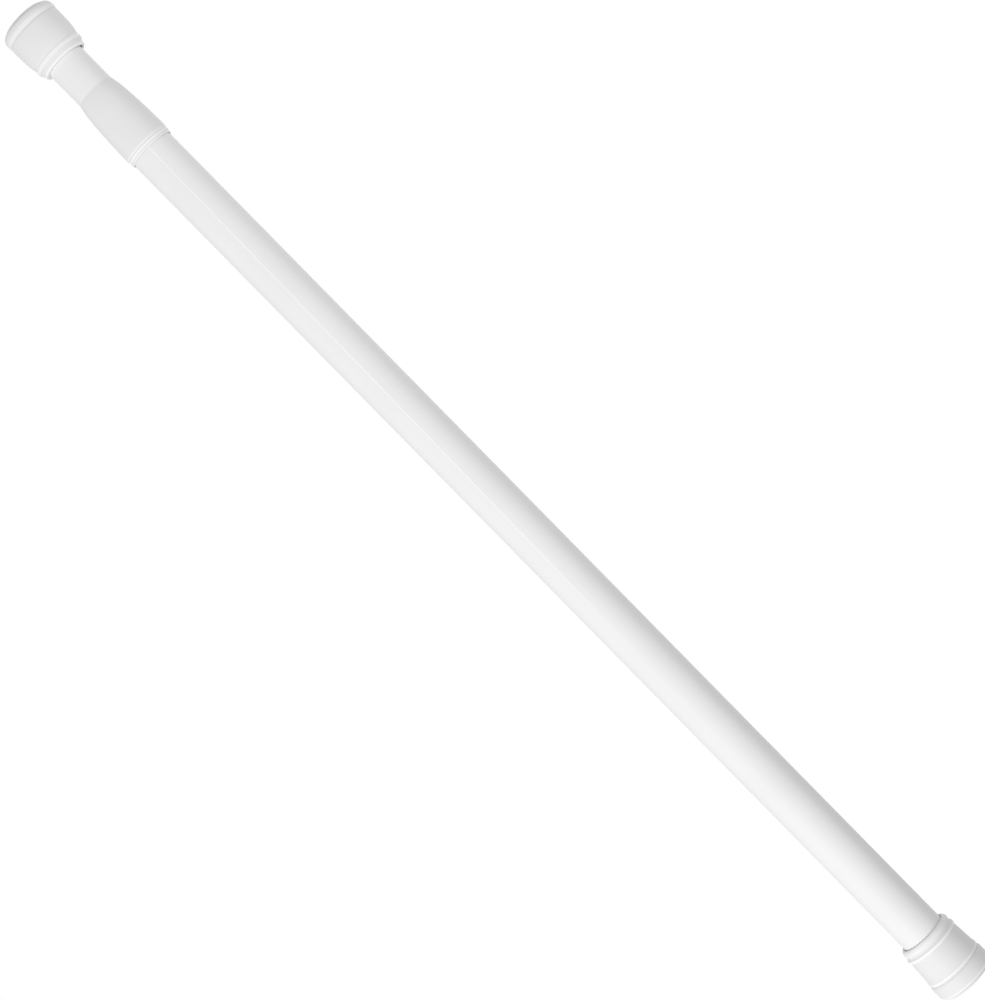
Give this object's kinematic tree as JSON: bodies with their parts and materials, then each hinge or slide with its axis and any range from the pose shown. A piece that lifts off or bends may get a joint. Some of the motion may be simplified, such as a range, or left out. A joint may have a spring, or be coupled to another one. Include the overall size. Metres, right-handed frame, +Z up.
{
  "type": "extendable shower curtain rod",
  "caption": "Telescoping white tension rod for a shower curtain, with a twist lock, a spring, a joint collar and soft wall pads on cupped end caps.",
  "frame": {"origin": "centre of the fixed end pad's flat wall face, on the rod's axis", "axes": "+X along the rod from the fixed wall face towards the end that slides out, +Z up, -Y towards the viewer of the picture"},
  "size_m": [0.7, 0.0342, 0.0342],
  "materials": {
    "painted_steel": "semi-gloss white powder coat",
    "white_plastic": "satin moulded white",
    "soft_plastic": "matte soft white",
    "nylon": "dark grey moulded nylon",
    "black_rubber": "matte black",
    "plated_steel": "bright zinc plating",
    "spring_steel": "oiled spring wire"
  },
  "bodies": {
    "outer": {"outer_tube": "painted_steel", "joint_collar": "white_plastic", "fixed_end_cap": "white_plastic", "fixed_end_pad": "soft_plastic"},
    "lock": {"jaw_carrier": "nylon", "jaw_ring": "black_rubber"},
    "upper_jaw": {"upper_jaw": "nylon"},
    "lower_jaw": {"lower_jaw": "nylon"},
    "wedge": {"wedge_nut": "nylon"},
    "spindle": {"lock_spindle": "plated_steel", "stop_washer": "plated_steel", "stop_screw": "plated_steel", "thrust_washer": "plated_steel", "stem_washer": "plated_steel", "stem_nut": "plated_steel", "press_spring": "spring_steel"},
    "inner": {"inner_tube": "painted_steel", "guide_bush": "nylon", "moving_end_plug": "nylon", "cap_screw": "plated_steel", "moving_end_cap": "white_plastic", "moving_end_pad": "soft_plastic"}
  },
  "joints": [
    {"name": "extend", "type": "slide", "parent": "outer", "child": "lock", "axis": [1, 0, 0], "range_m": [0, 0.5]},
    {"name": "lock_twist", "type": "hinge", "parent": "lock", "child": "spindle", "pos_m": [0.0118, 0, 0], "axis": [1, 0, 0], "range_deg": [0, 360]},
    {"name": "wedge_slide", "type": "slide", "parent": "lock", "child": "wedge", "axis": [1, 0, 0], "range_m": [-0.003, 0]},
    {"name": "upper_jaw_slide", "type": "slide", "parent": "lock", "child": "upper_jaw", "axis": [0, 0, 1], "range_m": [-0.0005, 0]},
    {"name": "lower_jaw_slide", "type": "slide", "parent": "lock", "child": "lower_jaw", "axis": [0, 0, -1], "range_m": [-0.0005, 0]},
    {"name": "press", "type": "slide", "parent": "spindle", "child": "inner", "axis": [1, 0, 0], "range_m": [-0.018, 0], "stiffness_N_per_m": 2900, "springref_m": 0.022, "deforming": ["press_spring"]}
  ],
  "couplings": [
    {"joint": "wedge_slide", "follows": "lock_twist", "m_per_rad": -0.00047746},
    {"joint": "upper_jaw_slide", "follows": "lock_twist", "m_per_rad": -0.000079577},
    {"joint": "lower_jaw_slide", "follows": "lock_twist", "m_per_rad": -0.000079577}
  ]
}
